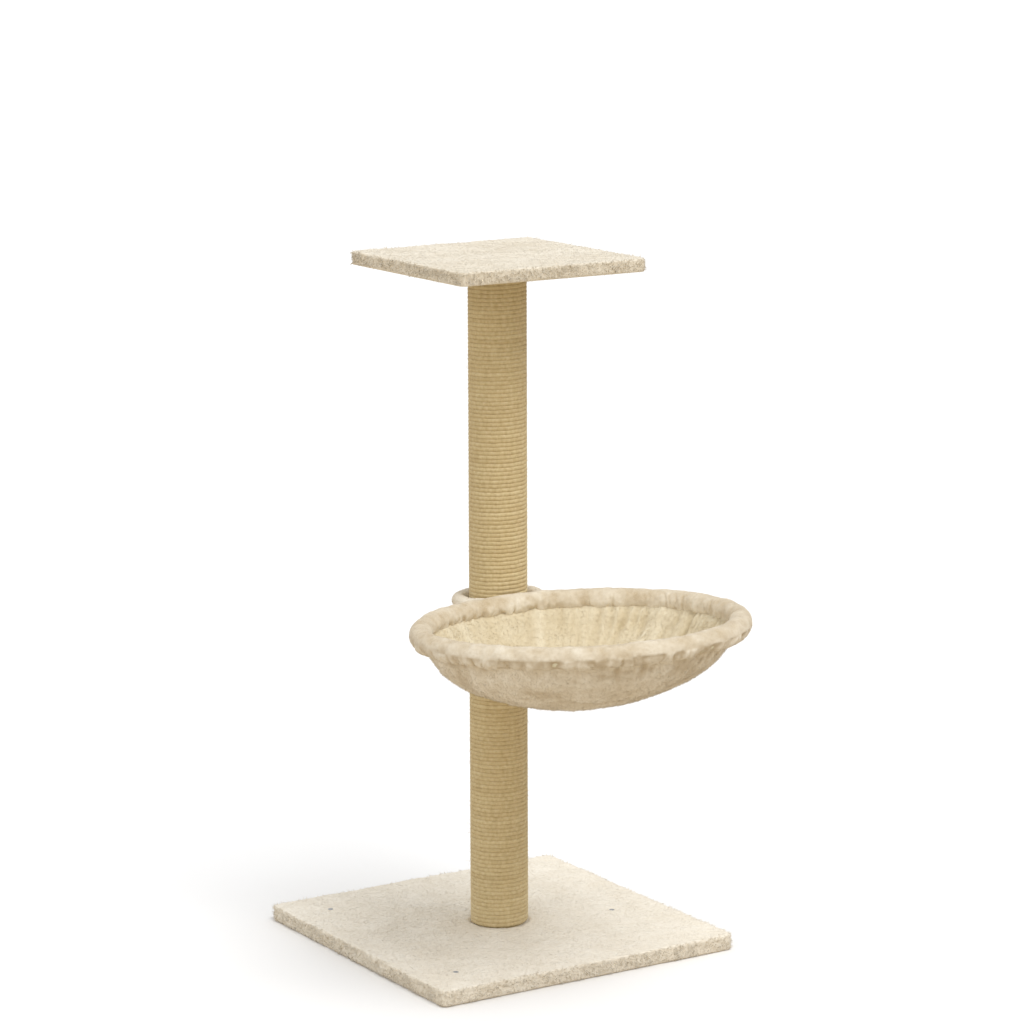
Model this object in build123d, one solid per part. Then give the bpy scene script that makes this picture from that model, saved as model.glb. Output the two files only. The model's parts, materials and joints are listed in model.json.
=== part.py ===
from build123d import *
from math import cos, degrees, radians, sin, tan
import os

# Cat tree: a square plush base, two rope-wound posts in line, a plush hammock that swivels round
# the joint between the posts, and a square plush platform on top.
# Millimetres. +Z is up. The origin is on the floor, on the axis of the posts, at the base's centre.
# The hammock hangs out towards -Y.

# Boards and their plush
BASE_SIDE = 400.0
BASE_BOARD = 15.0
PLATFORM_SIDE = 247.0
PLATFORM_BOARD = 12.0
BOARD_CORNER = 4.0
PILE = 2.8                # plush as it stands on a board's top and sides
PILE_EDGE = 2.2           # rounding of the plush along the top edges
CRUSHED = 1.0             # plush pressed flat under a post or folded under a board
HEM = 34.0                # how far the plush is folded under a board
BACKING = 0.5             # sheet over the hem
BACKING_INSET = 12.0      # from the board's edge to the sheet's
BOLT_WINDOW_R = 15.0      # hole in the base's sheet, round the bolt
POST_WINDOW_R = 37.0      # hole in the platform's sheet, round the post

# Posts
TUBE_R = 30.0
TUBE_WALL = 4.0
ROPE = 5.0
POST_LENGTH = 397.5
TURNS = 81                # turns of rope on each post
PLUG = 20.0
POST_R = TUBE_R + ROPE
BORE_R = TUBE_R - TUBE_WALL

# Threaded fasteners, M8 throughout, with threads drawn at their outer diameter
STUD_R = 4.0
CLEARANCE_R = 4.3         # stud holes in wood
RUNNING_R = 4.08          # stud hole in the hammock's arm, a running fit
NUT_FLANGE_R = 11.0
NUT_FLANGE = 1.5
NUT_BARREL_R = 5.0
NUT_BARREL = 10.0
WASHER_R = 12.0
WASHER = 1.6
HEAD_ACROSS = 13.0
HEAD = 5.3
HEAD_RECESS = 1.0         # bolt head above the board's underside
POCKET_R = 13.0           # pocket under the base board for the head and washer
BASE_BOLT = 35.0
JOINT_STUD = 64.0
PLATFORM_STUD = 38.0
STUD_SHY = 0.5            # platform stud below the board's top

# Staples and tacks
CROWN = 10.0
STAPLE_WIDTH = 1.1
STAPLE_THICK = 0.6
LEG = 8.0
NICK_ROOM = 0.4           # round a crown in the sheet
CROWN_RECESS = 0.1        # crowns stand this far above the sheet's underside
STAPLE_EDGE = 5.0         # row of staples from the sheet's edge
STAPLE_END = 18.0         # first staple from the row's end
BASE_STAPLES = 6          # along each side
PLATFORM_STAPLES = 4
TACK_HEAD_R = 3.2
TACK_HEAD = 0.8
TACK_SHANK_R = 0.9
TACK_SHANK = 11.0
TACKS = (                 # x, y, and how far the head is pressed into the pile
    (-152.0, 147.0, 0.5),
    (-152.0, -147.0, 0.5),
    (137.5, -40.0, 1.3),
)

# Hammock frame: a flat arm clamped between the posts, and two wire rings welded on it
ARM = 3.0
ARM_WIDTH = 22.0
ARM_PLAY = 0.1            # above and below the arm
ARM_FLAT = 36.0           # half of the arm's level stretch
ARM_BENT = 41.0           # where its ends reach the rings' slope
ARM_DROP = 3.4            # its ends are cranked down this far, so that the rings sit level with the joint
ARM_CUTTER = 12.0         # height of what bores the arm
ARM_PAST = 7.0            # arm beyond the wires
WIRE_R = 3.0
WIRE_LIFT = 0.3           # weld gap between arm and wires
BEAD_R = 2.4
BEAD = 13.0
BEAD_OFF = 0.4
BEAD_RISE = 0.6
COLLAR_R = 47.5           # centreline of the small ring round the post
RING_R = 182.0            # centreline of the hammock's ring
HEADING = radians(-98.7)  # from the post to the hammock, anticlockwise from +X
TILT = radians(3.0)       # the outer end stands this much higher
ROLL = radians(1.3)       # and the -X side this much lower

# Hammock soft parts
COLLAR_TUBE_R = 8.0
FOAM_R = 10.6
RIM_R = 13.4
SHELL_OUT = (176.0, 85.0)     # radius, and depth below the rings' plane
SHELL_IN = (173.0, 82.0)
LINER_IN = (168.5, 79.5)
QUARTER_ELLIPSE = 0.5523      # control arm of a cubic curve that follows a quarter ellipse

# Levels
BOARD_Z = BACKING + CRUSHED
BASE_TOP = BOARD_Z + BASE_BOARD
POST_Z = BASE_TOP + CRUSHED
JOINT_Z = POST_Z + POST_LENGTH
UPPER_Z = JOINT_Z + ARM + 2 * ARM_PLAY
PLATFORM_Z = UPPER_Z + POST_LENGTH
PLATFORM_TOP = PLATFORM_Z + PLATFORM_BOARD
ARM_TOP = JOINT_Z + ARM_PLAY + ARM
POSTS = (("lower_post", POST_Z), ("upper_post", UPPER_Z))

UPWARDS = (Align.CENTER, Align.CENTER, Align.MIN)


def upright(radius, height, z):
    """A cylinder on the posts' axis, from z up."""
    return Pos(0, 0, z) * Cylinder(radius, height, align=UPWARDS)


def slab(side, height, z, corner=0.0):
    """A square slab centred on the posts' axis, from z up, with its upright edges rounded."""
    block = Pos(0, 0, z) * Box(side, side, height, align=UPWARDS)
    return fillet(block.edges().filter_by(Axis.Z), corner) if corner else block


def largest(shape):
    return shape.solids().sort_by(SortBy.VOLUME)[-1]


# ---- Threaded fasteners


def tee_nut(face, barrel_down):
    """A threaded sleeve whose flange lies against a wooden face, with its barrel in the wood."""
    if barrel_down:
        low = face - NUT_BARREL
        shape = upright(NUT_FLANGE_R, NUT_FLANGE, face) + upright(NUT_BARREL_R, NUT_BARREL, low)
    else:
        low = face - NUT_FLANGE
        shape = upright(NUT_FLANGE_R, NUT_FLANGE, low) + upright(NUT_BARREL_R, NUT_BARREL, face)
    return shape - upright(STUD_R, NUT_FLANGE + NUT_BARREL, low)


def post_tee_nuts():
    """One on the inner face of each post's two plugs."""
    found = []
    for _, z in POSTS:
        found.append(tee_nut(z + PLUG, barrel_down=True))
        found.append(tee_nut(z + POST_LENGTH - PLUG, barrel_down=False))
    return found


def platform_tee_nut():
    return tee_nut(PLATFORM_TOP - NUT_FLANGE, barrel_down=True)


def base_washer():
    z = BOARD_Z + HEAD_RECESS + HEAD
    return upright(WASHER_R, WASHER, z) - upright(CLEARANCE_R, WASHER, z)


def base_bolt():
    z = BOARD_Z + HEAD_RECESS
    hexagon = RegularPolygon(HEAD_ACROSS / 2, 6, major_radius=False)
    return Pos(0, 0, z) * extrude(hexagon, HEAD) + upright(STUD_R, BASE_BOLT, z + HEAD)


def post_joint_stud():
    return upright(STUD_R, JOINT_STUD, (JOINT_Z + UPPER_Z - JOINT_STUD) / 2)


def platform_stud():
    return upright(STUD_R, PLATFORM_STUD, PLATFORM_TOP - STUD_SHY - PLATFORM_STUD)


# ---- Boards, their plush and what holds it


def base_board():
    """A board with a pocket below for the bolt's head and washer."""
    board = slab(BASE_SIDE, BASE_BOARD, BOARD_Z, BOARD_CORNER)
    board -= upright(CLEARANCE_R, BASE_BOARD, BOARD_Z)
    return board - upright(POCKET_R, HEAD_RECESS + HEAD + WASHER, BOARD_Z)


def platform_board():
    """A board with a tee nut let in flush with its top."""
    board = slab(PLATFORM_SIDE, PLATFORM_BOARD, PLATFORM_Z, BOARD_CORNER)
    board -= upright(CLEARANCE_R, PLATFORM_BOARD, PLATFORM_Z)
    board -= upright(NUT_FLANGE_R, NUT_FLANGE, PLATFORM_TOP - NUT_FLANGE)
    return board - upright(NUT_BARREL_R, NUT_BARREL, PLATFORM_TOP - NUT_FLANGE - NUT_BARREL)


def plush_cover(side, board, z):
    """Plush pulled over a board that lies at z, down its sides and under its edges."""
    skin = slab(side + 2 * PILE, CRUSHED + board + PILE, z - CRUSHED, BOARD_CORNER + PILE)
    skin = fillet(skin.faces().sort_by(Axis.Z)[-1].edges(), PILE_EDGE)
    window = slab(side - 2 * HEM, CRUSHED, z - CRUSHED, BOARD_CORNER)
    return skin - slab(side, board, z, BOARD_CORNER) - window


def base_cover():
    """The plush is crushed where the post stands on it, and the bolt goes through it."""
    cover = plush_cover(BASE_SIDE, BASE_BOARD, BOARD_Z)
    return cover - upright(POST_R, PILE, POST_Z) - upright(CLEARANCE_R, CRUSHED, BASE_TOP)


def platform_cover():
    return plush_cover(PLATFORM_SIDE, PLATFORM_BOARD, PLATFORM_Z)


def staple_places(side, count, z):
    """Where a square sheet is stapled: a row along each of its four sides."""
    reach = side / 2 - STAPLE_EDGE
    first = STAPLE_END - reach
    step = -2 * first / (count - 1)
    row = [Pos(first + i * step, -reach, z) for i in range(count)]
    return [Rot(0, 0, 90 * turn) * place for turn in range(4) for place in row]


def backing(side, count, z, hole_r):
    """The sheet under a board, from z up, open in the middle and nicked round each staple."""
    sheet = slab(side, BACKING, z) - upright(hole_r, BACKING, z)
    room = 2 * NICK_ROOM
    nick = Box(CROWN + room, STAPLE_WIDTH + room, BACKING, align=UPWARDS)
    return sheet - [place * nick for place in staple_places(side, count, z)]


def staple():
    """A staple with its crown at z 0 and its legs up."""
    shape = Box(CROWN, STAPLE_WIDTH, STAPLE_THICK, align=UPWARDS)
    leg = Box(STAPLE_THICK, STAPLE_WIDTH, LEG, align=UPWARDS)
    for side in (-1, 1):
        shape += Pos(side * (CROWN - STAPLE_THICK) / 2, 0, 0) * leg
    return shape


def staples(side, count, z):
    return [place * staple() for place in staple_places(side, count, z + CROWN_RECESS)]


def base_tacks():
    """Flat-headed tacks that hold the plush down."""
    tack = upright(TACK_HEAD_R, TACK_HEAD, 0)
    tack = fillet(tack.edges().sort_by(Axis.Z)[-1], TACK_HEAD / 2)
    tack += upright(TACK_SHANK_R, TACK_SHANK, -TACK_SHANK)
    return [Pos(x, y, BASE_TOP + PILE - sunk) * tack for x, y, sunk in TACKS]


# ---- Posts


def post_tube(z):
    return upright(TUBE_R, POST_LENGTH, z) - upright(BORE_R, POST_LENGTH, z)


def post_rope(z):
    """One layer of rope glued on turn against turn, each turn drawn as a ring."""
    pitch = POST_LENGTH / TURNS
    middle = TUBE_R + ROPE / 2
    levels = [z + i * pitch for i in range(TURNS)]
    turns = [
        ThreePointArc((middle, 0, a), (POST_R, 0, a + pitch / 2), (middle, 0, a + pitch))
        for a in levels
    ]
    top = z + POST_LENGTH
    back = Polyline((middle, 0, top), (TUBE_R, 0, top), (TUBE_R, 0, z), (middle, 0, z))
    return revolve(make_face([*turns, *back.edges()]), Axis.Z)


def plug(z, nut_above):
    """A wooden disc in a tube's end, bored for the stud and for its tee nut's barrel."""
    disc = upright(BORE_R, PLUG, z) - upright(CLEARANCE_R, PLUG, z)
    return disc - upright(NUT_BARREL_R, NUT_BARREL, z + PLUG - NUT_BARREL if nut_above else z)


def rope_end_staples():
    """Each rope end is stapled to its tube, on the side away from the hammock."""
    found = []
    for _, z in POSTS:
        for level in (z + ROPE / 2, z + POST_LENGTH - ROPE / 2):
            outside = (0, POST_R + STAPLE_THICK, level)
            inwards = Plane(origin=outside, x_dir=(1, 0, 0), z_dir=(0, -1, 0))
            found.append(inwards.location * staple())
    return found


# ---- Hammock


def arm_plane():
    """On the arm's top face at the posts' axis, with x towards the hammock."""
    return Plane(origin=(0, 0, ARM_TOP), x_dir=(cos(HEADING), sin(HEADING), 0), z_dir=(0, 0, 1))


def frame_plane():
    """The sloping plane of the two rings at the posts' axis, with x towards the hammock."""
    out = Vector(cos(HEADING) * cos(TILT), sin(HEADING) * cos(TILT), sin(TILT))
    level = Vector(-sin(HEADING), cos(HEADING), 0)
    side = level.rotate(Axis((0, 0, 0), out), degrees(ROLL))
    height = ARM_TOP - ARM_DROP + WIRE_LIFT + WIRE_R
    return Plane(origin=(0, 0, height), x_dir=out, z_dir=out.cross(side))


def ring_plane():
    """The same plane at the centre of the hammock's ring. The two wires lie side by side."""
    plane = frame_plane()
    centre = plane.from_local_coords((COLLAR_R + 2 * WIRE_R + RING_R, 0, 0))
    return Plane(origin=centre, x_dir=plane.x_dir, z_dir=plane.z_dir)


def arm_level(x):
    """Height of the arm's sloping ends above its level stretch, x from the posts' axis."""
    return x * tan(TILT) - ARM_DROP


def hammock_arm():
    """A flat bar through the joint, cranked down on both sides to lie along the rings' slope."""
    near = -(COLLAR_R + ARM_PAST)
    far = COLLAR_R + 2 * WIRE_R + ARM_PAST
    top = [(x, arm_level(x)) for x in (near, -ARM_BENT)]
    top += [(-ARM_FLAT, 0), (ARM_FLAT, 0)]
    top += [(x, arm_level(x)) for x in (ARM_BENT, far)]
    under = [(x, z - ARM) for x, z in reversed(top)]
    outline = make_face(Polyline([(x, 0, z) for x, z in top + under], close=True))
    bar = extrude(outline, ARM_WIDTH / 2, both=True)
    bar -= Cylinder(RUNNING_R, ARM_CUTTER)
    return arm_plane().location * bar


def hammock_collar_ring():
    return frame_plane().location * Torus(COLLAR_R, WIRE_R)


def hammock_ring():
    return ring_plane().location * Torus(RING_R, WIRE_R)


def rim_roll(radius):
    return ring_plane().location * Torus(RING_R, radius)


def hammock_weld_beads():
    """Fillets between the arm and the free sides of the wires that lie on it."""
    steel = hammock_arm() + hammock_collar_ring() + hammock_ring()
    reach = WIRE_R + BEAD_OFF
    ring_side = COLLAR_R + 2 * WIRE_R + reach
    found = []
    for x in (-COLLAR_R - reach, -COLLAR_R + reach, COLLAR_R - reach, ring_side):
        place = arm_plane().location * Pos(x, 0, arm_level(x) + BEAD_RISE) * Rot(90, 0, 0)
        found.append(largest(place * Cylinder(BEAD_R, BEAD) - steel))
    return found


def clear_of_arm(sleeve):
    """A sleeve on a ring, cut open where the arm and its welds come in."""
    return largest(sleeve - hammock_arm() - hammock_weld_beads())


def hammock_rim_foam():
    return clear_of_arm(rim_roll(FOAM_R) - hammock_ring() - hammock_collar_ring())


def hammock_rim_cover():
    """Plush sewn round the foam."""
    return clear_of_arm(rim_roll(RIM_R) - rim_roll(FOAM_R) - hammock_collar_ring())


def hammock_collar_cover():
    """Plush sewn round the small ring. It ends against the rim's plush."""
    sleeve = frame_plane().location * Torus(COLLAR_R, COLLAR_TUBE_R)
    return clear_of_arm(sleeve - hammock_collar_ring() - rim_roll(RIM_R))


def quarter_bowl(radius, depth):
    """A quarter ellipse from the bowl's lowest point up to its edge."""
    near, low = QUARTER_ELLIPSE * radius, QUARTER_ELLIPSE * depth
    return Bezier((0, -depth), (near, -depth), (radius, -low), (radius, 0))


def bowl_layer(outside, inside):
    """A layer of the bowl between two half ellipsoids, sewn under the rim."""
    outer = quarter_bowl(*outside)
    inner = quarter_bowl(*inside)
    outline = make_face([outer, Line(outer @ 1, inner @ 1), inner, Line(inner @ 0, outer @ 0)])
    bowl = revolve(Plane.XZ * outline, Axis.Z) - Torus(RING_R, RIM_R)
    return ring_plane().location * largest(bowl)


# ---- The whole


def pieces():
    """Every piece by its name: a solid, or a list of separate solids."""
    base_sheet = (BASE_SIDE - 2 * BACKING_INSET, BASE_STAPLES, 0)
    platform_sheet_z = PLATFORM_Z - CRUSHED - BACKING
    platform_sheet = (PLATFORM_SIDE - 2 * BACKING_INSET, PLATFORM_STAPLES, platform_sheet_z)
    found = {
        "base_board": base_board(),
        "base_cover": base_cover(),
        "base_tacks": base_tacks(),
        "base_backing": backing(*base_sheet, BOLT_WINDOW_R),
        "base_staples": staples(*base_sheet),
        "base_bolt": base_bolt(),
        "base_washer": base_washer(),
        "post_tee_nuts": post_tee_nuts(),
        "post_joint_stud": post_joint_stud(),
        "rope_end_staples": rope_end_staples(),
        "platform_board": platform_board(),
        "platform_cover": platform_cover(),
        "platform_backing": backing(*platform_sheet, POST_WINDOW_R),
        "platform_staples": staples(*platform_sheet),
        "platform_tee_nut": platform_tee_nut(),
        "platform_stud": platform_stud(),
        "hammock_arm": hammock_arm(),
        "hammock_collar_ring": hammock_collar_ring(),
        "hammock_ring": hammock_ring(),
        "hammock_weld_beads": hammock_weld_beads(),
        "hammock_rim_foam": hammock_rim_foam(),
        "hammock_rim_cover": hammock_rim_cover(),
        "hammock_collar_cover": hammock_collar_cover(),
        "hammock_bowl_shell": bowl_layer(SHELL_OUT, SHELL_IN),
        "hammock_bowl_liner": bowl_layer(SHELL_IN, LINER_IN),
    }
    for name, z in POSTS:
        found[f"{name}_tube"] = post_tube(z)
        found[f"{name}_rope"] = post_rope(z)
        found[f"{name}_bottom_plug"] = plug(z, nut_above=True)
        found[f"{name}_top_plug"] = plug(z + POST_LENGTH - PLUG, nut_above=False)
    return found


def main():
    os.makedirs("parts", exist_ok=True)
    for node, shape in pieces().items():
        group = shape if isinstance(shape, list) else [shape]
        solids = [solid for item in group for solid in item.solids()]
        whole = solids[0] if len(solids) == 1 else Compound(children=solids)
        export_step(whole, f"parts/{node}.step")


main()
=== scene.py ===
import json
import math

import bpy
import numpy as np
from mathutils import Matrix, Vector


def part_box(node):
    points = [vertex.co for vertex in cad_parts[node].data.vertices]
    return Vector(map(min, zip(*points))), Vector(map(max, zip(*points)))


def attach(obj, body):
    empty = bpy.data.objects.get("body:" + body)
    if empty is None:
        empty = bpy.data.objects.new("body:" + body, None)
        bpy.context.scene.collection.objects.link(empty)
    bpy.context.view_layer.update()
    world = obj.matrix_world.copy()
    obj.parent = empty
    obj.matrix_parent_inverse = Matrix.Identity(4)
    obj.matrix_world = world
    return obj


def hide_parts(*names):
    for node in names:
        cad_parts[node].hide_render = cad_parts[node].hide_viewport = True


# Looks of the cat tree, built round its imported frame. Metres, +Z up, origin under the posts.

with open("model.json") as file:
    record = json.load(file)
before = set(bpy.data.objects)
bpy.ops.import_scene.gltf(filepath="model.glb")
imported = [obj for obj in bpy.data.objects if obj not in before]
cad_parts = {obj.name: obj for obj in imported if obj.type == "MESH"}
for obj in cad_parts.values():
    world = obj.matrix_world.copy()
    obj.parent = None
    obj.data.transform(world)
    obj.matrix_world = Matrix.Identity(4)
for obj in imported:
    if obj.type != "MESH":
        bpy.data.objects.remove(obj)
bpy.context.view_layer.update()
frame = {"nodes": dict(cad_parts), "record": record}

MM = 0.001
UP = np.array([0.0, 0.0, 1.0])
LATTICE = 64              # cells of the noise lattice, each way
LUMPS_REACH = 1.4         # the layers of lumps are divided by this, to stay near -1 to 1
TRIANGLE = [(math.cos(q), math.sin(q)) for q in (0, 2 * math.pi / 3, 4 * math.pi / 3)]


# ---- Arrays


def unit(v):
    return v / np.maximum(np.linalg.norm(v, axis=-1, keepdims=True), 1e-12)


def noise(points, size, seed):
    """Smooth noise from -1 to 1 with lumps about size across."""
    table = np.random.default_rng(seed).uniform(-1, 1, (LATTICE,) * 3)
    cell = np.asarray(points, float) / size
    low = np.floor(cell).astype(int)
    part = cell - low
    part = part * part * (3 - 2 * part)
    total = 0.0
    for corner in np.ndindex(2, 2, 2):
        weight = np.prod(np.where(corner, part, 1 - part), axis=-1)
        at = (low + corner) % LATTICE
        total = total + weight * table[at[..., 0], at[..., 1], at[..., 2]]
    return total


def lumps(points, size, seed, octaves=3):
    """Noise with finer lumps on coarser ones."""
    layers = [noise(points, size / 2**k, seed + k) / 2**k for k in range(octaves)]
    return sum(layers) / LUMPS_REACH


def smooth(x, start, end):
    """0 before start, 1 after end, and an even curve between them. End may be the lower one."""
    t = np.clip((x - start) / (end - start), 0, 1)
    return t * t * (3 - 2 * t)


def quads_of(rows, cols, wrap_rows=False, wrap_cols=False):
    """Faces of a grid of points, listed row by row."""
    r, c = np.meshgrid(
        np.arange(rows if wrap_rows else rows - 1),
        np.arange(cols if wrap_cols else cols - 1),
        indexing="ij",
    )
    r2, c2 = (r + 1) % rows, (c + 1) % cols
    corners = [r * cols + c, r * cols + c2, r2 * cols + c2, r2 * cols + c]
    return np.stack(corners, -1).reshape(-1, 4)


def closed_shell(outer, inner, quads):
    """A sheet's two faces, joined along its open edges."""
    n = len(outer)
    edges = np.concatenate([quads[:, [i, (i + 1) % 4]] for i in range(4)])
    has_twin = np.isin(edges[:, 1] * n + edges[:, 0], edges[:, 0] * n + edges[:, 1])
    a, b = edges[~has_twin].T
    walls = np.stack([b, a, a + n, b + n], -1)
    return np.concatenate([outer, inner]), np.concatenate([quads, quads[:, ::-1] + n, walls])


def capped_tube(rings):
    """Points and faces of a tube through rings of points, closed at both ends."""
    rows, cols, _ = rings.shape
    n = rows * cols
    c = np.arange(cols)
    c2 = (c + 1) % cols
    last = n - cols
    points = np.concatenate([rings.reshape(-1, 3), rings[[0, -1]].mean(1)])
    caps = [(n, int(j), int(i)) for i, j in zip(c, c2)]
    caps += [(n + 1, int(last + i), int(last + j)) for i, j in zip(c, c2)]
    return points, quads_of(rows, cols, wrap_cols=True).tolist() + caps


def normals_of(points, quads):
    a, b, c, d = (points[quads[:, i]] for i in range(4))
    face = np.cross(c - a, d - b)
    found = np.zeros_like(points)
    for i in range(4):
        np.add.at(found, quads[:, i], face)
    return unit(found)


def points_of(node):
    """The points of a piece of the frame."""
    return np.array([v.co for v in frame["nodes"][node].data.vertices], float)


# ---- Materials


class Shade:
    """A material that is built node by node round one Principled shader."""

    def __init__(self, name, roughness, **constants):
        self.material = bpy.data.materials.new(name)
        self.material.use_nodes = True
        self.tree = self.material.node_tree
        self.shader = self.tree.nodes["Principled BSDF"]
        self.shader.inputs["Roughness"].default_value = roughness
        for socket, value in constants.items():
            self.shader.inputs[socket.replace("_", " ")].default_value = value

    def node(self, kind, inputs=None, **settings):
        made = self.tree.nodes.new("ShaderNode" + kind)
        for key, value in settings.items():
            setattr(made, key, value)
        for socket, value in (inputs or {}).items():
            if isinstance(value, bpy.types.NodeSocket):
                self.tree.links.new(value, made.inputs[socket])
            else:
                made.inputs[socket].default_value = value
        return made

    def place(self, scale=(1, 1, 1)):
        """Object coordinates, stretched. The pieces sit at the origin, so they run on across pieces."""
        where = self.node("TexCoord").outputs["Object"]
        return self.node("Mapping", {"Vector": where, "Scale": scale}).outputs["Vector"]

    def clouds(self, where, scale, detail=3.0):
        """Noise with about scale lumps to the metre."""
        inputs = {"Vector": where, "Scale": scale, "Detail": detail}
        return self.node("TexNoise", inputs).outputs["Fac"]

    def ramp(self, factor, *stops):
        made = self.node("ValToRGB", {"Fac": factor})
        marks = made.color_ramp.elements
        for (at, colour), mark in zip((stops[0], stops[-1]), (marks[0], marks[1])):
            mark.position, mark.color = at, (*colour, 1)
        for at, colour in stops[1:-1]:
            marks.new(at).color = (*colour, 1)
        return made.outputs["Color"]

    def mix(self, factor, a, b, blend="MIX"):
        made = self.node("Mix", data_type="RGBA", blend_type=blend)
        for index, value in ((0, factor), (6, a), (7, b)):
            if isinstance(value, bpy.types.NodeSocket):
                self.tree.links.new(value, made.inputs[index])
            else:
                made.inputs[index].default_value = value
        return made.outputs[2]

    def paint(self, colour):
        self.tree.links.new(colour, self.shader.inputs["Base Color"])

    def roughen(self, value):
        self.tree.links.new(value, self.shader.inputs["Roughness"])

    def bump(self, height, distance, strength=1.0):
        inputs = {"Height": height, "Distance": distance, "Strength": strength}
        bumped = self.node("Bump", inputs).outputs["Normal"]
        self.tree.links.new(bumped, self.shader.inputs["Normal"])


def plush(name, deep_shade, middle, tip):
    """Short matted pile, with painted shade: darker and yellower down between the fibres and in the
    hollows of the cloth, pale at their tips.
    """
    shade = Shade(name, 0.95, Sheen_Weight=0.2, Sheen_Roughness=0.6, Specular_IOR_Level=0.15)
    # The height attribute carries the painted shade: the lower a point stands in the pile, the darker and
    # yellower it is painted.
    height = shade.node("Attribute", attribute_name="height").outputs["Fac"]
    body = shade.ramp(height, (0.08, deep_shade), (0.45, middle), (0.9, tip))
    blotch = shade.ramp(
        shade.clouds(shade.place(), 22), (0.35, (0.94, 0.925, 0.9)), (0.65, (1, 1, 1))
    )
    fleck = shade.ramp(
        shade.clouds(shade.place(), 260), (0.3, (0.93, 0.915, 0.89)), (0.6, (1, 1, 1))
    )
    body = shade.mix(1.0, body, blotch, "MULTIPLY")
    shade.paint(shade.mix(1.0, body, fleck, "MULTIPLY"))
    shade.bump(shade.clouds(shade.place(), 600, 4), 0.35 * MM, 0.5)
    return shade.material


def sisal():
    """Twisted plant fibre. Its UVs run along the rope and once round it, both in metres."""
    shade = Shade("sisal_rope", 0.85, Sheen_Weight=0.1, Specular_IOR_Level=0.25)
    where = shade.node("TexCoord").outputs["UV"]
    strands = shade.node("Mapping", {"Vector": where, "Scale": (60, 9, 1)}).outputs["Vector"]
    wisps = shade.clouds(strands, 4, 5)
    straw = shade.ramp(
        wisps, (0.25, (0.56, 0.435, 0.23)), (0.5, (0.67, 0.545, 0.31)), (0.75, (0.75, 0.635, 0.40))
    )
    lengths = shade.node("Mapping", {"Vector": where, "Scale": (1.4, 0, 0)}).outputs["Vector"]
    age = shade.ramp(shade.clouds(lengths, 3), (0.35, (0.88, 0.85, 0.8)), (0.65, (1, 1, 1)))
    shade.paint(shade.mix(1.0, straw, age, "MULTIPLY"))
    shade.bump(wisps, 0.3 * MM, 0.6)
    return shade.material


def fibreboard():
    shade = Shade("fibreboard", 0.8, Specular_IOR_Level=0.2)
    chips = shade.clouds(shade.place((1, 1, 4)), 260, 5)
    shade.paint(shade.ramp(chips, (0.3, (0.20, 0.125, 0.065)), (0.7, (0.40, 0.27, 0.155))))
    shade.bump(chips, 0.2 * MM, 0.5)
    return shade.material


def turned_wood():
    shade = Shade("plug_wood", 0.7, Specular_IOR_Level=0.3)
    grain = shade.clouds(shade.place((1, 12, 1)), 40, 4)
    shade.paint(shade.ramp(grain, (0.3, (0.34, 0.20, 0.09)), (0.7, (0.56, 0.38, 0.20))))
    shade.bump(grain, 0.2 * MM, 0.4)
    return shade.material


def tube_board():
    shade = Shade("tube_board", 0.85, Specular_IOR_Level=0.2)
    plies = shade.clouds(shade.place((1, 1, 0.3)), 300, 4)
    shade.paint(shade.ramp(plies, (0.3, (0.22, 0.14, 0.075)), (0.7, (0.36, 0.25, 0.15))))
    shade.bump(plies, 0.1 * MM, 0.4)
    return shade.material


def backing_cloth():
    """Thin pressed sheet, with its fibres lying every way and a faint dimple pattern."""
    shade = Shade("backing_cloth", 0.9, Specular_IOR_Level=0.2)
    web = shade.clouds(shade.place(), 420, 5)
    cells = shade.node("TexVoronoi", {"Vector": shade.place(), "Scale": 380.0})
    shade.paint(shade.ramp(web, (0.3, (0.50, 0.48, 0.44)), (0.7, (0.68, 0.66, 0.62))))
    shade.bump(cells.outputs["Distance"], 0.15 * MM, 0.5)
    return shade.material


def foam():
    shade = Shade("foam", 0.95, Specular_IOR_Level=0.1)
    pores = shade.node("TexVoronoi", {"Vector": shade.place(), "Scale": 700.0}).outputs["Distance"]
    shade.paint(shade.ramp(pores, (0.0, (0.62, 0.56, 0.38)), (0.6, (0.84, 0.80, 0.62))))
    shade.bump(pores, 0.4 * MM, 0.8)
    return shade.material


def zinc():
    shade = Shade("zinc_steel", 0.42, Metallic=1.0)
    spangle = shade.clouds(shade.place(), 500, 3)
    shade.paint(shade.ramp(spangle, (0.3, (0.34, 0.35, 0.37)), (0.7, (0.52, 0.53, 0.55))))
    to_low, to_high = 3, 4    # the sockets of the range that a value is mapped to
    spread = shade.node("MapRange", {"Value": spangle, to_low: 0.34, to_high: 0.52})
    shade.roughen(spread.outputs["Result"])
    shade.bump(spangle, 0.05 * MM, 0.4)
    return shade.material


def powder_coat():
    shade = Shade("powder_coat", 0.5, Specular_IOR_Level=0.45)
    grit = shade.clouds(shade.place(), 900, 3)
    shade.paint(shade.ramp(grit, (0.3, (0.018, 0.018, 0.02)), (0.7, (0.032, 0.032, 0.035))))
    shade.bump(grit, 0.06 * MM, 0.6)
    return shade.material


FINISH = {
    "plush": plush("plush", (0.58, 0.465, 0.30), (0.85, 0.775, 0.64), (0.95, 0.895, 0.785)),
    # plush_inner is the same plush painted darker and yellower, a painted shade for the inside of the
    # bowl.
    "plush_inner": plush("plush_inner", (0.47, 0.36, 0.175), (0.74, 0.64, 0.445), (0.84, 0.76, 0.58)),
    "sisal": sisal(),
    "fibreboard": fibreboard(),
    "plug_wood": turned_wood(),
    "tube_board": tube_board(),
    "backing": backing_cloth(),
    "foam": foam(),
    "steel": zinc(),
    "frame_steel": powder_coat(),
}


def paint_frame():
    """Gives each piece of the frame the finish of its slot."""
    for part in frame["record"]["subparts"]:
        mesh = frame["nodes"][part["node"]].data
        mesh.materials.clear()
        mesh.materials.append(FINISH[part["material_slot"]])


# ---- Pieces

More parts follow.
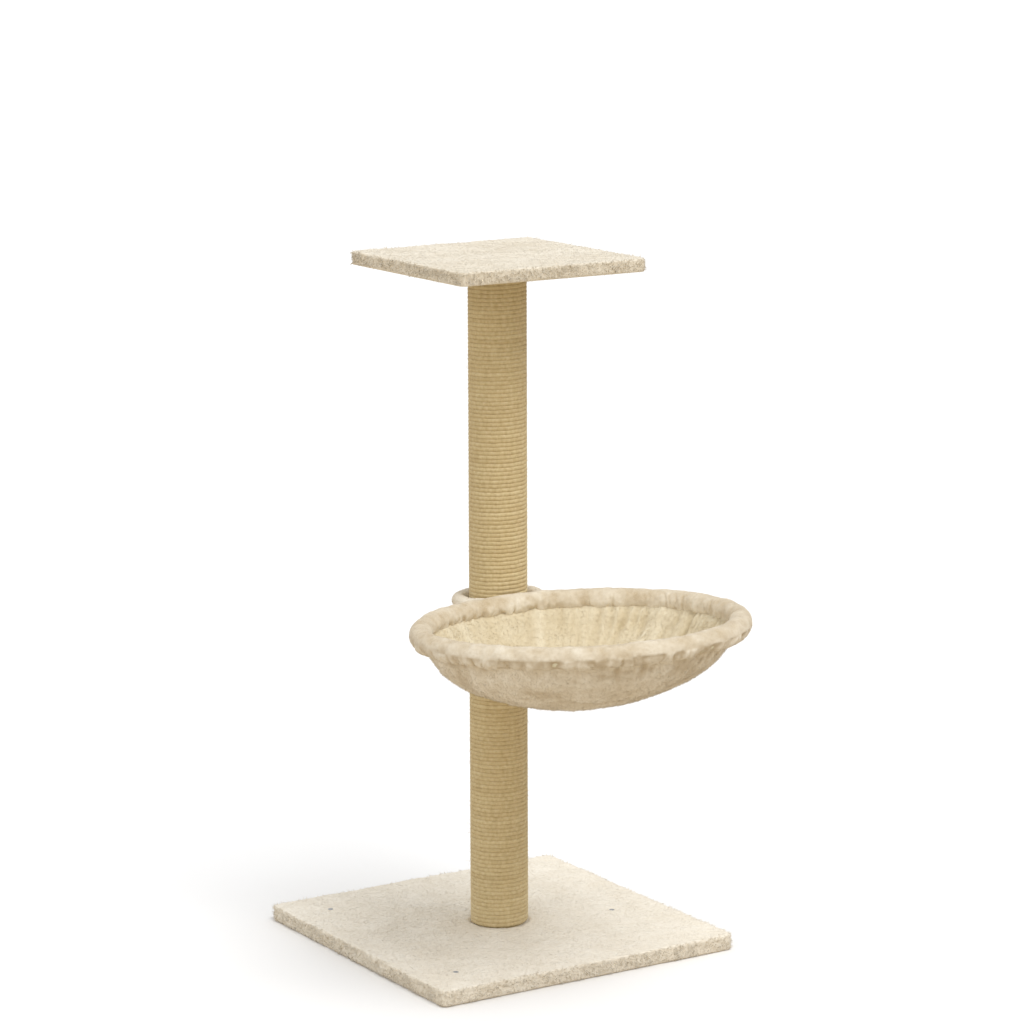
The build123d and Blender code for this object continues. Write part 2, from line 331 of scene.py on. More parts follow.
INSIDE_HEIGHT = 0.2       # how high in the pile a cloth's back looks
PILE_PATCH = 18 * MM      # the pile changes its way about this often
PILE_STRAY = 0.5          # how far each fibre strays from the pile's way
PILE_ROOT = 0.3 * MM      # how deep under the cloth a fibre starts
PILE_LEANS = (0.5, 1.4)   # least and most lean, as shares of the usual one
PILE_LENGTHS = (0.5, 1.35)
PILE_WIDTHS = (0.6, 1.3)
PILE_TONES = (-0.1, 0.1)  # how far a fibre's tone strays


def add_piece(name, points, faces, body, slot, height=None):
    """A mesh that rides on a body. height is how high each point stands in the pile, from 0 to 1: lower
    points get darker painted shade.
    """
    mesh = bpy.data.meshes.new(name)
    faces = faces if isinstance(faces, list) else faces.tolist()
    mesh.from_pydata(np.asarray(points).tolist(), [], faces)
    mesh.validate()
    mesh.polygons.foreach_set("use_smooth", np.ones(len(mesh.polygons), bool))
    if height is not None:
        layer = mesh.attributes.new("height", "FLOAT", "POINT")
        layer.data.foreach_set("value", np.clip(height, 0, 1).astype(np.float32))
    mesh.materials.append(FINISH[slot])
    piece = bpy.data.objects.new(name, mesh)
    bpy.context.scene.collection.objects.link(piece)
    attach(piece, body)
    return piece


def pile(
    name, points, quads, body, slot, count, seed, stand, width, lean, comb, swirl=1.1, tone=(0.5, 0.85)
):
    """Loose fibres on a surface: closed spikes that lean the way the pile is combed, or swirl.
    tone is how high in the pile their roots and tips look, so the roots get darker painted shade than the
    tips."""
    rng = np.random.default_rng(seed)
    a, b, c, d = (points[quads[:, i]] for i in range(4))
    area = np.linalg.norm(np.cross(c - a, d - b), axis=1)
    pick = rng.choice(len(quads), count, p=area / area.sum())
    s, t = rng.random((2, count, 1))
    root = (1 - s) * (1 - t) * a[pick] + s * (1 - t) * b[pick]
    root += s * t * c[pick] + (1 - s) * t * d[pick]
    normal = unit(np.cross(c - a, d - b))[pick]
    turned = np.stack([noise(root, PILE_PATCH, seed + k) for k in (1, 2, 3)], -1)
    along = comb + swirl * turned + PILE_STRAY * rng.normal(size=(count, 3))
    along = unit(along - normal * (along * normal).sum(-1, keepdims=True))
    lean_by = lean * rng.uniform(*PILE_LEANS, (count, 1))
    way = unit(normal + lean_by * along)
    side = unit(np.cross(way, normal + 1e-6))
    across = np.cross(way, side)
    long = stand * rng.uniform(*PILE_LENGTHS, (count, 1))
    wide = width * rng.uniform(*PILE_WIDTHS, (count, 1))
    foot = root - normal * PILE_ROOT
    ring = [foot + wide * (x * side + y * across) for x, y in TRIANGLE]
    spikes = np.stack([*ring, foot + long * way], 1).reshape(-1, 3)
    spikes[:, 2] = np.maximum(spikes[:, 2], 0)    # none goes through the floor
    at = 4 * np.arange(count)[:, None, None]
    faces = (at + np.array([[0, 1, 3], [1, 2, 3], [2, 0, 3], [0, 2, 1]])).reshape(-1, 3)
    shade = rng.uniform(*PILE_TONES, (count, 1))
    # Painted shade: each fibre's root is painted darker than its tip, as if shaded down among the fibres;
    # shade adds the fibre's own random tone.
    height = (shade + np.array([[tone[0]] * 3 + [tone[1]]])).reshape(-1)
    return add_piece(name, spikes, faces, body, slot, height)


# ---- Base and platform plush

CELL = 2.3 * MM               # size of the cloth's faces on a board
TOP_EDGE = 2.2 * MM           # rounding along the top edges
CORNER = 6.8 * MM             # rounding of the upright edges
SIDE_ROWS = 8
SIDE_END = 1.2 * MM           # the sides end and the hem starts this far above the underside
HEM = 34 * MM                 # width of the hem under a board
HEM_TURN = 1.0 * MM           # the hem starts this far in from the side
HEM_LIFT = 0.05 * MM          # the hem's pile side is this far above the floor
HEM_THICK = 0.9 * MM          # plush pressed flat under a board
PILE_DEPTH = 1.25 * MM        # how far a lump in the pile stands out
PILE_WAY = math.radians(33)   # the pile is brushed this way, from +X towards -Y
ALONG = np.array([math.cos(PILE_WAY), -math.sin(PILE_WAY), 0.0])
ACROSS = np.array([math.sin(PILE_WAY), math.cos(PILE_WAY), 0.0])
COMBED = 0.35 * np.outer(ALONG, ALONG) + np.outer(ACROSS, ACROSS) + np.outer(UP, UP)
BROAD_LUMPS = 34 * MM         # sizes of the lumps in the pile
BRUSHED_LUMPS = 9 * MM
TUFTS = 15 * MM
SEAT_SUNK = 0.15 * MM         # the plush is pressed this far under the level of the post's foot
SEAT_EDGE = 1.6 * MM          # and slopes up again within this
SEAT_SLOPE = 0.6
TACK_SPREAD = 12 * MM         # points this close together belong to one tack
TACK_HEAD = 3.6 * MM          # radius of the dent round a tack's head
TACK_SUNK = 0.4 * MM          # the plush is pressed this far under the head's top
TACK_SLOPE = 0.5
TACK_CLEAR = 4.5 * MM         # no fibres stand within this of a tack
POST_CLEAR = 2 * MM           # nor within this of the post
HAIRS_FROM = 1.5 * MM         # hairs stand from this far above the underside, and tufts from the next
TUFTS_FROM = 0.8 * MM
TONE_RANGE = 0.16             # a fibre's tip looks this much higher in the pile than its root, so its root gets darker painted shade


def rounded(flat, half, corner):
    """Squares round the middle, with their corners turned to arcs of up to that radius."""
    over = np.abs(flat) - (half - corner)
    near_corner = (over > 0).all(-1, keepdims=True)
    long = np.maximum(np.linalg.norm(over, axis=-1, keepdims=True), 1e-9)
    share = over.max(-1, keepdims=True) / long
    return np.where(near_corner, np.sign(flat) * (half - corner + over * share), flat)


def cloth_rows(low, high, wood_low, wood_high, spread):
    """The cloth's rows from the top's edge down to the end of the hem: how far each lies out from that
    edge and its level, then the same two for its back."""
    rows = []
    for turn in np.radians([30, 60, 90]):
        level = high[2] - TOP_EDGE * (1 - math.cos(turn))
        rows.append((TOP_EDGE * math.sin(turn), level, spread, wood_high[2]))
    side_top, side_low = high[2] - TOP_EDGE, low[2] + SIDE_END
    for level in np.linspace(side_top, side_low, SIDE_ROWS)[1:]:
        share = (level - side_low) / (side_top - side_low)
        back = wood_low[2] + (wood_high[2] - wood_low[2]) * share
        rows.append((TOP_EDGE, level, spread, back))
    for share in (0.0, 0.08, 0.3, 0.65, 1.0):
        inward = TOP_EDGE - HEM_TURN - share * HEM
        rows.append((inward, low[2] + HEM_LIFT, min(spread, inward), low[2] + HEM_THICK))
    return rows


def board_cloth(node, board):
    """Cloth over a board, before it is wrinkled: its pile side, its back on the wood, and its faces."""
    low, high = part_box(node)
    wood_low, wood_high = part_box(board)
    half = high[0] - TOP_EDGE
    n = int(round(2 * half / CELL))
    line = np.linspace(-half, half, n + 1)
    x, y = np.meshgrid(line, line, indexing="xy")
    top = rounded(np.stack([x, y], -1).reshape(-1, 2), half, CORNER - TOP_EDGE)
    index = np.arange((n + 1) ** 2).reshape(n + 1, n + 1)
    loop = np.concatenate([index[0, :-1], index[:-1, -1], index[-1, :0:-1], index[:0:-1, 0]])
    edge = top[loop]
    out = unit(np.sign(edge) * np.maximum(np.abs(edge) - (half - CORNER + TOP_EDGE), 0))
    outer = [np.column_stack([top, np.full(len(top), high[2])])]
    inner = [np.column_stack([top * (wood_high[0] / half), np.full(len(top), wood_high[2])])]
    quads = [quads_of(n + 1, n + 1)]
    above, start = loop, len(top)
    for reach, level, back_reach, back_level in cloth_rows(
        low, high, wood_low, wood_high, wood_high[0] - half
    ):
        outer.append(np.column_stack([edge + out * reach, np.full(len(edge), level)]))
        inner.append(np.column_stack([edge + out * back_reach, np.full(len(edge), back_level)]))
        below = start + np.arange(len(loop))
        quads.append(np.stack([above, below, np.roll(below, -1), np.roll(above, -1)], -1))
        above, start = below, start + len(loop)
    return np.concatenate(outer), np.concatenate(inner), np.concatenate(quads)


def board_relief(points, normal, seed):
    """How the pile stands: broad lumps, finer ones along the brushed way, and tufts on the sides, most
    of all on the -X side."""
    broad = lumps(points, BROAD_LUMPS, seed, 2)
    brushed = lumps(points @ COMBED, BRUSHED_LUMPS, seed + 7)
    side = smooth(np.abs(normal[:, 2]), 0.7, 0.3)
    tufty = side * np.where(normal[:, 0] < -0.5, 1.5, 0.6)
    return 0.5 * broad + 0.5 * brushed + tufty * lumps(points, TUFTS, seed + 11)


def tack_places():
    """(place, level) of the top of each tack's head: one for each cluster of their node's points."""
    left = points_of("base_tacks")
    found = []
    while len(left):
        near = np.linalg.norm((left - left[0])[:, :2], axis=1) < TACK_SPREAD
        low, high = left[near].min(0), left[near].max(0)
        found.append(((low[:2] + high[:2]) / 2, high[2]))
        left = left[~near]
    return found


def from_tacks(points, tacks):
    """How far each point lies from the nearest tack, sideways, and the level of that tack's top."""
    gap = np.full(len(points), np.inf)
    head = np.zeros(len(points))
    for place, level in tacks:
        reach = np.linalg.norm(points[:, :2] - place, axis=1)
        head = np.where(reach < gap, level, head)
        gap = np.minimum(gap, reach)
    return gap, head


def post_foot():
    """(radius, level) of the lower post's foot."""
    low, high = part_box("lower_post_rope")
    return high[0], low[2]


def press_down(points, on_top, foot, tacks):
    """Presses the top of the cloth down under the post's foot and round the tacks' heads."""
    if foot:
        radius, level = foot
        reach = np.linalg.norm(points[:, :2], axis=1)
        sunk = on_top & (reach < radius + SEAT_EDGE)
        seat = level - SEAT_SUNK + SEAT_SLOPE * np.maximum(reach[sunk] - radius, 0)
        points[sunk, 2] = np.minimum(points[sunk, 2], seat)
    gap, head = from_tacks(points, tacks)
    dent = head - TACK_SUNK + TACK_SLOPE * np.maximum(gap - TACK_HEAD, 0)
    points[:, 2] = np.where(on_top, np.minimum(points[:, 2], dent), points[:, 2])


def board_pile(name, points, quads, underside, foot, tacks, hairs, tufts, seed, pale):
    """The pile over a board: brushed hairs, and tufts that stand along its edges."""
    middle = points[quads].mean(1)
    clear = np.linalg.norm(middle[:, :2], axis=1) > (foot[0] + POST_CLEAR if foot else 0)
    clear &= middle[:, 2] > underside + HAIRS_FROM
    clear &= from_tacks(middle, tacks)[0] > TACK_CLEAR
    edge = np.abs(normals_of(points, quads))[quads].mean(1)[:, 2] < 0.9
    edge &= middle[:, 2] > underside + TUFTS_FROM
    tone = (pale, pale + TONE_RANGE)
    return [
        pile(
            name + "_pile", points, quads[clear], "root", "plush", hairs, seed + 20,
            stand=2.8 * MM, width=0.24 * MM, lean=3.6, comb=2.4 * ALONG, swirl=0.55, tone=tone,
        ),
        pile(
            name + "_tufts", points, quads[edge], "root", "plush", tufts, seed + 30,
            stand=4.2 * MM, width=0.42 * MM, lean=1.0, comb=-0.2 * UP, swirl=1.6, tone=tone,
        ),
    ]


def board_plush(name, hairs, tufts, seed, pale, foot=None, tacks=()):
    """Plush over a board: its top, its rounded edges and sides, and the hem folded under it.
    pale is how high in the pile it looks."""
    # pale sets how pale the whole cloth and its fibres are painted.
    node, board = name + "_cover", name + "_board"
    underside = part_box(node)[0][2]
    outer, inner, quads = board_cloth(node, board)
    normal = normals_of(outer, quads)
    on_top = normal[:, 2] > 0.5
    shown = smooth(outer[:, 2], underside + 0.2 * MM, underside + 3 * MM)
    calm = np.where(on_top, smooth(from_tacks(outer, tacks)[0], 3 * MM, 9 * MM), 1)
    relief = board_relief(outer, normal, seed)
    outer = outer + normal * (relief * shown * calm * PILE_DEPTH)[:, None]
    press_down(outer, on_top, foot, tacks)
    outer[:, 2] = np.maximum(outer[:, 2], underside)
    # Painted shade: the pile's hollows are painted darker and its lumps paler, less so near the tacks.
    height = np.concatenate([pale + 0.12 * relief * calm, np.full(len(inner), INSIDE_HEIGHT)])
    points, faces = closed_shell(outer, inner, quads)
    piece = add_piece(name + "_plush", points, faces, "root", "plush", height)
    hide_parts(node)
    fibres = board_pile(name, outer, quads, underside, foot, tacks, hairs, tufts, seed, pale)


# ---- Rope

ROPE_STEPS = 72           # to a turn round the post
ROPE_SIDES = 12
ROPE_CLOSE = 1.96         # how far apart the turns lie, in rope radii
ROPE_TAPER = 0.25         # the rope's ends taper to this share of its radius
STRANDS = 3
STRAND_RISE = 0.04        # how far a strand stands out, as a share of the rope's radius
LAY = 17 * MM             # a strand goes once round the rope in this length
WANDER = 0.022            # how far the rope's thickness strays
ROPE_ROOM = 0.05          # the rope is this much thinner than its node, to make room for both
SQUARENESS = 4            # 2 is a round rope, and more is squarer, as one pressed between its turns
OVERLAP = 1.12            # each turn is squashed into the next by this
ROPE_ROUND = 0.016        # about the way round the rope
STRAY_TRIES = 900         # places drawn for stray fibres, before those by the collar are left out
STRAYS = 520              # fibres kept at most
STRAY_ENDS = 12 * MM      # none stands this near to a rope's end
COLLAR_ROOM = 45 * MM     # or this near to the collar's level
STRAY_LENGTHS = (4, 15)   # in millimetres
STRAY_THICK = 0.09 * MM
STRAY_DROOP = 0.25        # of their length


def wound_rope(name, seed):
    """One rope wound up a tube, turn against turn. Its ends taper off into the first and last turn."""
    node = name + "_post_rope"
    low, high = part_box(node)
    tube_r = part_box(name + "_post_tube")[1][0]
    thick = (high[0] - tube_r) / 2
    rope_top = high[2] - low[2]
    turns = round((rope_top - 2 * thick) / (ROPE_CLOSE * thick))
    pitch = (rope_top - 2 * thick) / turns
    t = np.arange(-ROPE_STEPS, (turns + 1) * ROPE_STEPS + 1) / ROPE_STEPS
    rise = thick + pitch * t
    size = np.clip(np.minimum(rise, rope_top - rise), ROPE_TAPER * thick, thick)
    rise = np.clip(rise, size, rope_top - size)
    angle = np.pi / 2 + 2 * np.pi * t
    run = (tube_r + thick) * 2 * np.pi * t
    out = np.stack([np.cos(angle), np.sin(angle), 0 * angle], -1)
    centre = out * (tube_r + size)[:, None] + UP * (low[2] + rise)[:, None]
    q = 2 * np.pi * np.arange(ROPE_SIDES) / ROPE_SIDES
    strand = 1 + STRAND_RISE * np.cos(STRANDS * q - 2 * np.pi * run[:, None] / LAY)
    wander = WANDER * noise(np.stack([run, 0 * run, 0 * run], -1), 9 * MM, seed)[:, None]
    packed = (np.cos(q) ** SQUARENESS + np.sin(q) ** SQUARENESS) ** (-1 / SQUARENESS)
    r = (size[:, None] * packed * (strand + wander - ROPE_ROOM))[..., None]
    squash = pitch / (2 * thick) * OVERLAP
    rings = centre[:, None] + r * (
        np.cos(q)[None, :, None] * out[:, None] - squash * np.sin(q)[None, :, None] * UP
    )
    rings[..., 2] = np.clip(rings[..., 2], low[2], high[2])
    points, faces = capped_tube(rings)
    piece = add_piece(name + "_rope", points, faces, "root", "sisal")
    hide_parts(node)
    rope_uvs(piece, run, q)
    stray_fibres(name + "_fibres", low, high, seed + 5)


def rope_uvs(piece, run, q):
    """UVs that follow the strands: metres along the rope and round it."""
    along = np.repeat(run, len(q))
    round_it = np.tile(q / (2 * np.pi), len(run)) * ROPE_ROUND
    uv = np.column_stack([along, round_it])
    uv = np.concatenate([uv, uv[[0, -1]]])
    layer = piece.data.uv_layers.new(name="rope")
    loops = np.empty(len(piece.data.loops), int)
    piece.data.loops.foreach_get("vertex_index", loops)
    layer.data.foreach_set("uv", uv[loops].astype(np.float32).reshape(-1))


def stray_fibres(name, low, high, seed):
    """A few loose fibres that stand off the rope, away from the hammock's collar."""
    rng = np.random.default_rng(seed)
    z = rng.uniform(low[2] + STRAY_ENDS, high[2] - STRAY_ENDS, STRAY_TRIES)
    z = z[np.abs(z - collar_centre[2]) > COLLAR_ROOM][:STRAYS]
    angle = rng.uniform(0, 2 * np.pi, len(z))
    out = np.stack([np.cos(angle), np.sin(angle), 0 * angle], -1)
    root = out * (high[0] - 0.6 * MM) + UP * z[:, None]
    around = np.stack([-np.sin(angle), np.cos(angle), 0 * angle], -1)
    sideways = around * rng.normal(0, 1, (len(z), 1))
    way = unit(0.55 * out + sideways + UP * rng.normal(0, 0.7, (len(z), 1)))
    side = unit(np.cross(way, out))
    across = np.cross(way, side)
    long = rng.uniform(*STRAY_LENGTHS, (len(z), 1)) * MM
    droop = -UP * long * STRAY_DROOP
    ways = ((0.0, 0.0, 1.0), (0.5, 0.3, 0.8), (1.0, 1.0, 0.25))    # length, droop, width: shares
    rings = [
        root + way * long * share + sag * droop + STRAY_THICK * width * (x * side + y * across)
        for share, sag, width in ways
        for x, y in TRIANGLE
    ]
    points = np.stack(rings, 1).reshape(-1, 3)
    walls = [(i + j, i + (j + 1) % 3, i + 3 + (j + 1) % 3, i + 3 + j) for i in (0, 3) for j in range(3)]
    one = [*walls, (2, 1, 0), (6, 7, 8)]
    faces = [tuple(len(rings) * k + v for v in face) for k in range(len(z)) for face in one]
    add_piece(name, points, faces, "root", "sisal")


# ---- Hammock


def plane_of(node):
    """(centre, normal, radius) of a ring, from its points. The normal points up."""
    points = points_of(node)
    centre = (points.max(0) + points.min(0)) / 2
    normal = np.linalg.svd(points - centre, full_matrices=False)[2][2]
    normal = normal if normal[2] > 0 else -normal
    flat = points - centre
    flat = flat - np.outer(flat @ normal, normal)
    reach = np.linalg.norm(flat, axis=1)
    return centre, normal, (reach.max() + reach.min()) / 2


ring_centre, ring_up, ring_r = plane_of("hammock_ring")
collar_centre, _, collar_r = plane_of("hammock_collar_ring")
ring_out = unit(ring_centre - collar_centre)
ring_side = np.cross(ring_up, ring_out)

RIM_ROWS, RIM_COLS = 1080, 46
RIM_INSET = 0.5 * MM      # the roll is this much thinner than its node, to make room for the pile
RIM_RELIEF = 3            # wrinkles level off at this many millimetres
RIM_HAIRS = 40000
GATHER_WIDE = 15 * MM     # how far apart the wide and the fine gathers lie
GATHER_FINE = 9 * MM
COLLAR_ROWS, COLLAR_COLS = 150, 24
COLLAR_TUBE = 8 * MM      # radius of the collar's sleeve
COLLAR_START = math.radians(18)   # its ends lie this far round from the arm, in the roll
COLLAR_HAIRS = 5200
BOWL_CELLS = 150
BOWL_HAIRS = 42000
BOWL_SAG = -11 * MM       # the lowest point hangs this far off the middle, sideways
SEAM_TURN = 6 * MM        # how far the bowl's edge turns out into the roll
FOLD_TURNS = np.radians([18, 74, 128, 205, 290])
FOLD_WIDTH = 6 * MM


def from_rings_frame(centre, x, y, z):
    """From a ring's own frame, with x away from the post and z up, to the scene's."""
    return (
        centre
        + np.asarray(x)[..., None] * ring_out
        + np.asarray(y)[..., None] * ring_side
        + np.asarray(z)[..., None] * ring_up
    )


def along_ring(radius, theta, shift):
    """Points for noise that runs on round a ring."""
    return np.stack([radius * np.cos(theta), radius * np.sin(theta), shift], -1)


def tight_side(theta):
    """How tightly the cloth is gathered inside the roll: loose on the -X side, tight on the other."""
    return 0.2 + 0.6 * smooth(np.sin(theta), -0.1, 0.8)


def drawn_lines(at, size, width, seed):
    """1 along thin winding lines about size apart, and 0 between them."""
    return np.exp(-((noise(at, size, seed) / width) ** 2))


def rim_relief(theta, phi, roll):
    """The roll's wrinkles in millimetres: smooth on top, drawn in where the cloth is gathered."""
    at = along_ring(ring_r, theta, phi * roll)
    sway = 5 * MM * noise(at, 13 * MM, 38) + 2 * MM * noise(at, 5 * MM, 39)
    spot = along_ring(ring_r, theta + sway / ring_r, phi * roll * 0.25)
    outer_side = smooth(-np.sin(phi), -0.25, 0.5)
    inner_side = tight_side(theta) * smooth(-np.cos(phi), 0.3, 0.9)
    drawn = 0.65 + 0.6 * noise(along_ring(ring_r, theta, phi * 0), 45 * MM, 33)
    gathers = np.maximum(outer_side, inner_side) * np.clip(drawn, 0.3, 1.1)
    wide = drawn_lines(spot, GATHER_WIDE, 0.26, 31)
    fine = drawn_lines(spot, GATHER_FINE, 0.24, 32)
    relief = 1.1 * lumps(at, 36 * MM, 35) + 1.1 * lumps(at, 11 * MM, 36)
    relief = relief + gathers * (1.2 - 3.0 * wide - 1.8 * fine + 0.9 * noise(at, 5 * MM, 37))
    return RIM_RELIEF * np.tanh(relief / RIM_RELIEF)


def rim_plush():
    """The padded roll: fairly smooth on top, drawn into pleats along its lower side."""
    wire_r = np.abs((points_of("hammock_ring") - ring_centre) @ ring_up).max()
    roll = (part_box("hammock_rim_cover")[1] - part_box("hammock_ring")[1])[2] + wire_r
    theta = (2 * np.pi * np.arange(RIM_ROWS) / RIM_ROWS)[:, None] * np.ones(RIM_COLS)
    phi = (2 * np.pi * np.arange(RIM_COLS) / RIM_COLS)[None, :] * np.ones((RIM_ROWS, 1))
    relief = rim_relief(theta, phi, roll)
    r = roll - RIM_INSET + relief * MM
    reach = ring_r + r * np.cos(phi)
    points = from_rings_frame(
        ring_centre, reach * np.cos(theta), reach * np.sin(theta), r * np.sin(phi)
    ).reshape(-1, 3)
    quads = quads_of(RIM_ROWS, RIM_COLS, True, True)
    # Painted shade: the roll's top is painted darker and its underside paler, to tone down the light on
    # its top, and the hollows of its wrinkles darker.
    height = 0.37 - 0.13 * np.sin(phi) + 0.14 * relief
    piece = add_piece("rim_plush", points, quads, "hammock", "plush", height.reshape(-1))
    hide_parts("hammock_rim_cover")
    # Its hairs are painted low in the pile, so darker: the same painted shade.
    pile(
        "rim_pile", points, quads, "hammock", "plush", RIM_HAIRS, 40,
        stand=3.0 * MM, width=0.22 * MM, lean=0.9, comb=-0.5 * UP, tone=(0.34, 0.56),
    )


def collar_plush():
    """The plush sleeve on the small ring, with both ends in the roll."""
    theta = np.linspace(COLLAR_START, 2 * np.pi - COLLAR_START, COLLAR_ROWS)
    theta = theta[:, None] * np.ones(COLLAR_COLS)
    phi = (2 * np.pi * np.arange(COLLAR_COLS) / COLLAR_COLS)[None, :] * np.ones((COLLAR_ROWS, 1))
    spot = along_ring(collar_r, theta, phi * COLLAR_TUBE)
    relief = 0.6 * lumps(spot, 14 * MM, 51) + 0.35 * lumps(spot, 6 * MM, 52)
    r = COLLAR_TUBE + relief * MM
    reach = collar_r + r * np.cos(phi)
    rings = from_rings_frame(
        collar_centre, reach * np.cos(theta), reach * np.sin(theta), r * np.sin(phi)
    )
    points, faces = capped_tube(rings)
    # Painted shade: the sleeve's hollows are painted darker and its lumps paler.
    height = np.append(0.55 + 0.2 * relief.reshape(-1), [0.5, 0.5])
    piece = add_piece("collar_plush", points, faces, "hammock", "plush", height)
    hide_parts("hammock_collar_cover")
    off_post = np.cos(phi[:-1, :]).reshape(-1) > -0.75
    quads = quads_of(COLLAR_ROWS, COLLAR_COLS, wrap_cols=True)[off_post]
    pile(
        "collar_pile", rings.reshape(-1, 3), quads, "hammock", "plush", COLLAR_HAIRS, 55,
        stand=2.6 * MM, width=0.3 * MM, lean=1.6, comb=-0.4 * UP,
    )


def disc_grid(n):
    """A square grid drawn into a disc: (angle, share of the radius) of each point, and its faces."""
    line = np.linspace(-1, 1, n + 1)
    x, y = (v.reshape(-1) for v in np.meshgrid(line, line, indexing="xy"))
    share = np.maximum(np.abs(x), np.abs(y))
    return np.arctan2(y, x), share, quads_of(n + 1, n + 1)


def bowl_line(share, radius, depth, edge):
    """(reach, depth) on the bowl's half-ellipse, by share of the way from its lowest point to the seam."""
    a = np.linspace(0, np.pi / 2, 600)
    reach, down = radius * np.sin(a), depth * np.cos(a)
    keep = down >= edge
    reach, down = reach[keep], down[keep]
    way = np.append(0, np.cumsum(np.hypot(np.diff(reach), np.diff(down))))
    into_seam = SEAM_TURN * smooth(share, 0.93, 1.0)
    return np.interp(share, way / way[-1], reach) + into_seam, np.interp(share, way / way[-1], down)


def bowl_face(theta, share, size, edge, deepest):
    """Points of one face of a layer. size is the half-ellipse's radius and depth."""
    reach, down = bowl_line(share, *size, edge)
    aside = BOWL_SAG * down / deepest
    return from_rings_frame(ring_centre, reach * np.cos(theta), reach * np.sin(theta) + aside, -down)


def bowl_relief(flat, theta, share, upward, seed):
    """A layer's wrinkles in millimetres. Its pleats run down from the seam."""
    pull = along_ring(ring_r, theta, 60 * MM * share)
    pleats = 1 - 2.0 * np.abs(noise(pull, 11 * MM, seed))
    gathered = np.exp(-(1 - share) / (0.30 if upward else 0.10))
    tufted = 1.1 * lumps(flat, 15 * MM, seed + 3, 2) + 0.8 * lumps(flat, 6 * MM, seed + 4, 2)
    relief = 1.4 * lumps(flat, 60 * MM, seed + 2) + tufted * (0.6 if upward else 1.25)
    relief = relief + gathered * pleats * (3.2 * tight_side(theta) if upward else 1.4)
    relief = relief + slack_folds(flat, seed) * (2.4 if upward else 0.7)
    return relief * smooth(share, 1.0, 0.96) + (1.0 if upward else 0.0)


def slack_folds(flat, seed):
    """Long soft creases down the bowl, where the cloth has too much width."""
    x, y = flat @ ring_out, flat @ ring_side
    total = 0.0
    for k, turn in enumerate(FOLD_TURNS):
        across = x * math.cos(turn) + y * math.sin(turn)
        wave = 9 * MM * noise(np.stack([x, y, 0 * x + k], -1), 70 * MM, seed + k)
        offset = (-0.5 + 0.22 * k) * 0.5 * ring_r
        total = total + np.exp(-(((across - offset + wave) / FOLD_WIDTH) ** 2))
    return total - 0.3


def bowl(name, node, outside, inside, edge, slot, upward, seed):
    """A layer of the bowl. Its pile side is wrinkled, and its other side follows it plainly.
    outside and inside are (radius, depth), and edge is how far under the ring the layer ends."""
    theta, share, quads = disc_grid(BOWL_CELLS)
    shown, hidden = (inside, outside) if upward else (outside, inside)
    deepest = max(outside[1], inside[1])
    face = bowl_face(theta, share, shown, edge, deepest)
    back = bowl_face(theta, share, hidden, edge, deepest)
    if not upward:
        quads = quads[:, ::-1]
    normal = normals_of(face, quads)
    relief = bowl_relief(face - ring_centre, theta, share, upward, seed)
    face = face + normal * (relief * MM)[:, None]
    points, faces = closed_shell(face, back, quads)
    # Painted shade: the hollows of the wrinkles and folds are painted darker and the ridges paler, more so
    # on the outer layer.
    contrast = 0.15 if upward else 0.2
    height = np.concatenate([0.48 + contrast * relief, np.full(len(back), INSIDE_HEIGHT)])
    piece = add_piece(name, points, faces, "hammock", slot, height)
    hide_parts(node)
    hairs = pile(
        name + "_pile", face, quads, "hammock", slot, BOWL_HAIRS, seed + 9,
        stand=2.6 * MM, width=0.22 * MM, lean=1.2, comb=-0.8 * UP, swirl=0.8, tone=(0.4, 0.62),
    )


# ---- Camera, light and floor

LENS = 130.03
SENSOR = 36.0
EYE = (-2.29203, -3.65799, 1.35722)
YAW = math.radians(32.292)
PITCH = math.radians(10.9405)
TWIST = math.radians(-0.1658)
SKY = 0.75                # strength of the light from all round
FLOOR_REACH = 60
FLOOR_SEEN = (0.95, 0.95, 0.95, 1)
FLOOR_BOUNCE = (0.56, 0.475, 0.355, 1)    # its colour for the light that it throws back


def add_camera():
    ahead = Vector(
        (math.sin(YAW) * math.cos(PITCH), math.cos(YAW) * math.cos(PITCH), -math.sin(PITCH))
    )
    right = Vector((math.cos(YAW), -math.sin(YAW), 0))
    above = right.cross(ahead)
    turned_right = right * math.cos(TWIST) + above * math.sin(TWIST)
    turned_up = above * math.cos(TWIST) - right * math.sin(TWIST)
    data = bpy.data.cameras.new("camera")
    data.lens, data.sensor_width = LENS, SENSOR
    camera = bpy.data.objects.new("camera", data)
    bpy.context.scene.collection.objects.link(camera)
    camera.matrix_world = Matrix.Translation(EYE) @ Matrix(
        (turned_right, turned_up, -ahead)
    ).transposed().to_4x4()
    bpy.context.scene.camera = camera


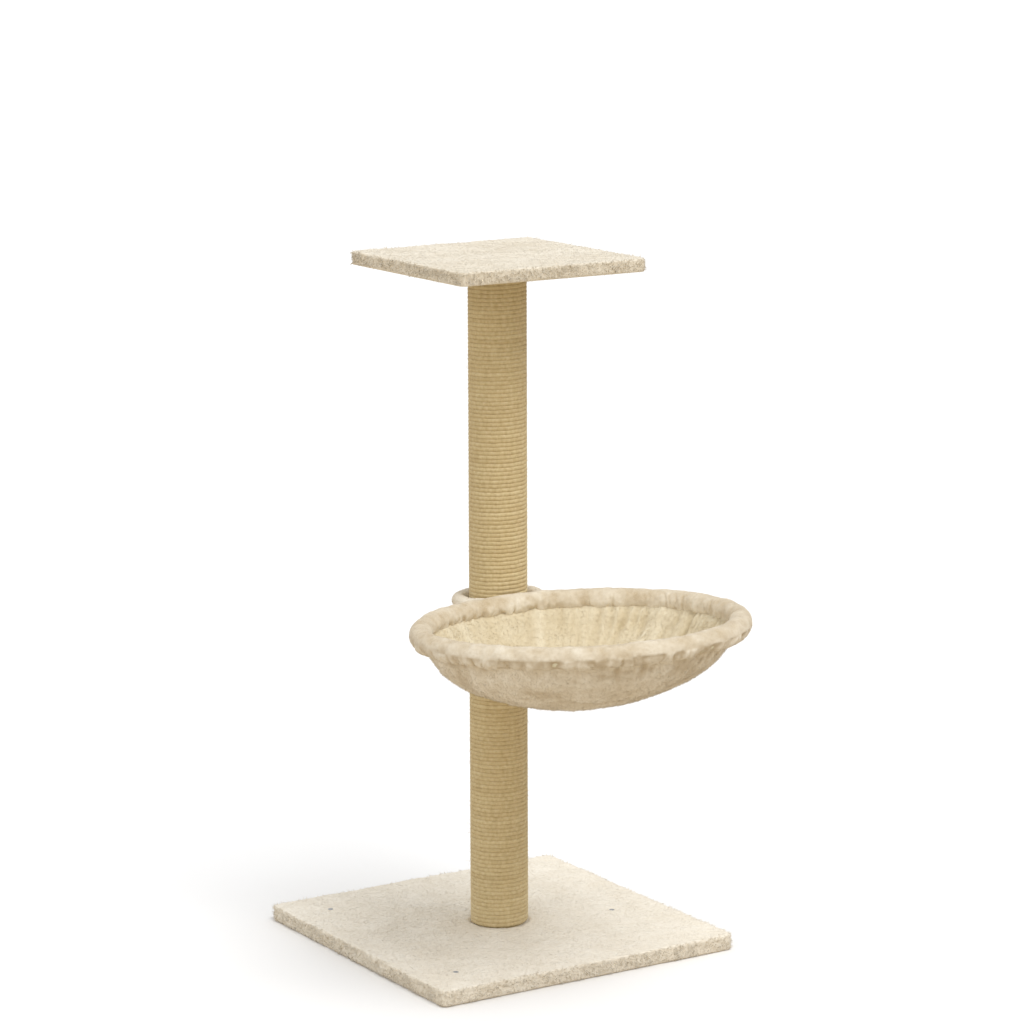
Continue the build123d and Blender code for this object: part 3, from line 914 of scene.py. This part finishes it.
def add_sun(name, azimuth, elevation, spread, strength):
    """A wide soft light from far off. Its angles are in degrees, and azimuth 0 is behind the camera."""
    a, e = math.radians(azimuth) - YAW, math.radians(elevation)
    back = Vector((math.sin(a) * math.cos(e), -math.cos(a) * math.cos(e), math.sin(e)))
    data = bpy.data.lights.new(name, "SUN")
    data.angle, data.energy = math.radians(spread), strength
    light = bpy.data.objects.new(name, data)
    light.rotation_euler = back.to_track_quat("Z", "Y").to_euler()
    bpy.context.scene.collection.objects.link(light)


def add_sky():
    scene = bpy.context.scene
    scene.view_settings.view_transform = "Standard"
    world = bpy.data.worlds.new("studio")
    world.use_nodes = True
    background = world.node_tree.nodes["Background"]
    background.inputs["Color"].default_value = (1, 1, 1, 1)
    background.inputs["Strength"].default_value = SKY
    scene.world = world


def add_floor():
    """A floor that is near white to look at, and warmer for the light that it throws back."""
    mesh = bpy.data.meshes.new("floor")
    corners = [(x * FLOOR_REACH, y * FLOOR_REACH, 0) for x, y in ((-1, -1), (1, -1), (1, 1), (-1, 1))]
    mesh.from_pydata(corners, [], [(0, 1, 2, 3)])
    shade = Shade("floor", 0.9, Specular_IOR_Level=0.1)
    seen = shade.node("LightPath").outputs["Is Camera Ray"]
    shade.paint(shade.mix(seen, FLOOR_BOUNCE, FLOOR_SEEN))
    mesh.materials.append(shade.material)
    floor = bpy.data.objects.new("floor", mesh)
    bpy.context.scene.collection.objects.link(floor)


# ---- The whole

add_camera()
add_sky()
add_sun("key", azimuth=44, elevation=60, spread=34, strength=1.5)
add_sun("fill", azimuth=-46, elevation=14, spread=50, strength=0.36)
add_floor()
paint_frame()
# The base's plush is painted much paler than the platform's: a painted light that makes up for the shade
# among its hairs.
board_plush(
    "base", hairs=48000, tufts=8000, seed=101, pale=0.92, foot=post_foot(), tacks=tack_places()
)
board_plush("platform", hairs=24000, tufts=4500, seed=201, pale=0.54)
wound_rope("lower", 301)
wound_rope("upper", 401)
rim_plush()
collar_plush()
bowl(
    "bowl_outer", "hammock_bowl_shell", outside=(176.5 * MM, 85.5 * MM), inside=(173.5 * MM, 82.6 * MM),
    edge=5 * MM, slot="plush", upward=False, seed=501,
)
# The bowl's inside takes plush_inner, the plush with painted shade.
bowl(
    "bowl_inner", "hammock_bowl_liner", outside=(173 * MM, 82 * MM), inside=(169.5 * MM, 79.2 * MM),
    edge=3 * MM, slot="plush_inner", upward=True, seed=601,
)
